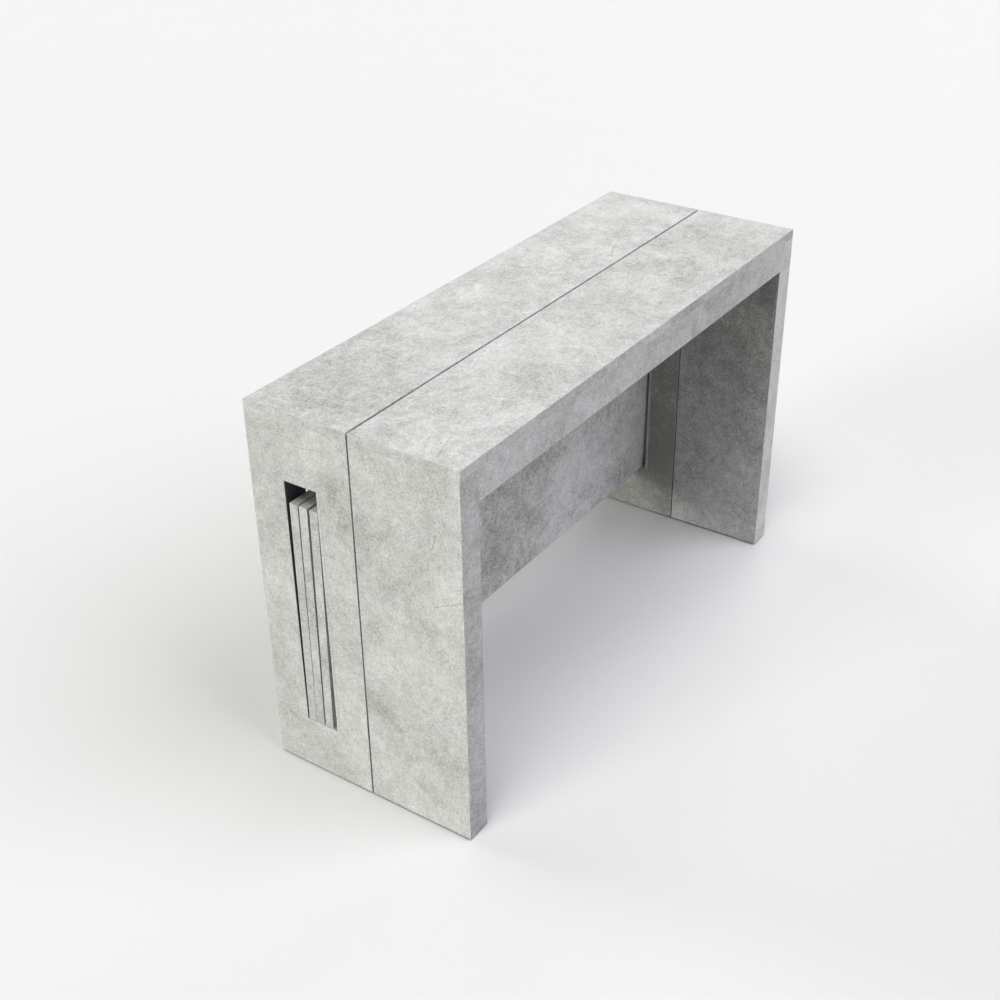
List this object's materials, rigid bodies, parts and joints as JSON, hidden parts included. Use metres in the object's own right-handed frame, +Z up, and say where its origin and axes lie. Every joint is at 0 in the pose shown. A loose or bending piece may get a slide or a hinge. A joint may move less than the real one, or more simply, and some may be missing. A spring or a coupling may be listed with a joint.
{
  "type": "extendable dining table",
  "caption": "Console table in two halves on telescopic rails that draws out to a long dining table, with its leaves stored upright in slots through the rear legs.",
  "frame": {"origin": "on the floor under the middle of the closed table", "axes": "+X along the table's long side, +Y to the half that stores the leaves, +Z up"},
  "size_m": [1.2, 0.442, 0.76],
  "materials": {
    "concrete_melamine": "matt concrete-effect melamine facing on particle board",
    "edge_band": "matt concrete-effect plastic edge band",
    "dark_edge_band": "matt dark grey plastic edge band",
    "raw_board": "bare particle board",
    "beech": "turned beech, unfinished",
    "aluminium": "extruded, clear anodised",
    "zinc_steel": "zinc plated",
    "nylon": "black moulded nylon",
    "glide_plastic": "dark grey moulded plastic"
  },
  "bodies": {
    "rear_frame": {"rear_top": "concrete_melamine", "rear_edging": "edge_band", "rear_apron": "concrete_melamine", "rear_left_leg_outer_skin": "concrete_melamine", "rear_left_leg_inner_skin": "concrete_melamine", "rear_left_leg_core": "raw_board", "rear_left_leg_edging": "edge_band", "rear_right_leg_outer_skin": "concrete_melamine", "rear_right_leg_inner_skin": "concrete_melamine", "rear_right_leg_core": "raw_board", "rear_right_leg_edging": "edge_band", "slot_edging": "dark_edge_band", "slot_lipping": "concrete_melamine", "rear_brackets": "zinc_steel", "rear_screws": "zinc_steel", "rear_dowels": "beech", "rear_glides": "glide_plastic", "left_rail_rear_member": "aluminium", "right_rail_rear_member": "aluminium", "rear_rail_guides": "nylon"},
    "front_frame": {"front_top": "concrete_melamine", "front_edging": "edge_band", "front_apron": "concrete_melamine", "front_left_leg_outer_skin": "concrete_melamine", "front_left_leg_inner_skin": "concrete_melamine", "front_left_leg_core": "raw_board", "front_left_leg_edging": "edge_band", "front_right_leg_outer_skin": "concrete_melamine", "front_right_leg_inner_skin": "concrete_melamine", "front_right_leg_core": "raw_board", "front_right_leg_edging": "edge_band", "seam_pins": "beech", "front_brackets": "zinc_steel", "front_screws": "zinc_steel", "front_dowels": "beech", "front_glides": "glide_plastic", "left_rail_front_member": "aluminium", "right_rail_front_member": "aluminium", "front_rail_guides": "nylon"},
    "rail_stage_1": {"left_rail_stage_1": "aluminium", "right_rail_stage_1": "aluminium", "rail_stage_1_guides": "nylon"},
    "rail_stage_2": {"left_rail_stage_2": "aluminium", "right_rail_stage_2": "aluminium", "rail_stage_2_guides": "nylon"},
    "rail_stage_3": {"left_rail_stage_3": "aluminium", "right_rail_stage_3": "aluminium", "rail_stage_3_guides": "nylon"},
    "rail_stage_4": {"left_rail_stage_4": "aluminium", "right_rail_stage_4": "aluminium", "rail_stage_4_guides": "nylon"},
    "leaf_1": {"leaf_1": "concrete_melamine", "leaf_1_edging": "edge_band", "leaf_1_pins": "beech"},
    "leaf_2": {"leaf_2": "concrete_melamine", "leaf_2_edging": "edge_band", "leaf_2_pins": "beech"},
    "leaf_3": {"leaf_3": "concrete_melamine", "leaf_3_edging": "edge_band", "leaf_3_pins": "beech"}
  },
  "joints": [
    {"name": "extension", "type": "slide", "parent": "rear_frame", "child": "front_frame", "axis": [0, -1, 0], "range_m": [0, 1.43]},
    {"name": "rail_stage_1_slide", "type": "slide", "parent": "rear_frame", "child": "rail_stage_1", "axis": [0, -1, 0], "range_m": [0, 0.2861]},
    {"name": "rail_stage_2_slide", "type": "slide", "parent": "rear_frame", "child": "rail_stage_2", "axis": [0, -1, 0], "range_m": [0, 0.5721]},
    {"name": "rail_stage_3_slide", "type": "slide", "parent": "rear_frame", "child": "rail_stage_3", "axis": [0, -1, 0], "range_m": [0, 0.8581]},
    {"name": "rail_stage_4_slide", "type": "slide", "parent": "rear_frame", "child": "rail_stage_4", "axis": [0, -1, 0], "range_m": [0, 1.1441]},
    {"name": "leaf_1_removal", "type": "slide", "parent": "rear_frame", "child": "leaf_1", "axis": [-1, 0, 0], "range_m": [0, 1.25]},
    {"name": "leaf_2_removal", "type": "slide", "parent": "rear_frame", "child": "leaf_2", "axis": [-1, 0, 0], "range_m": [0, 1.25]},
    {"name": "leaf_3_removal", "type": "slide", "parent": "rear_frame", "child": "leaf_3", "axis": [-1, 0, 0], "range_m": [0, 1.25]}
  ],
  "couplings": [
    {"joint": "rail_stage_1_slide", "follows": "extension", "ratio": 0.2},
    {"joint": "rail_stage_2_slide", "follows": "extension", "ratio": 0.4},
    {"joint": "rail_stage_3_slide", "follows": "extension", "ratio": 0.6},
    {"joint": "rail_stage_4_slide", "follows": "extension", "ratio": 0.8}
  ]
}
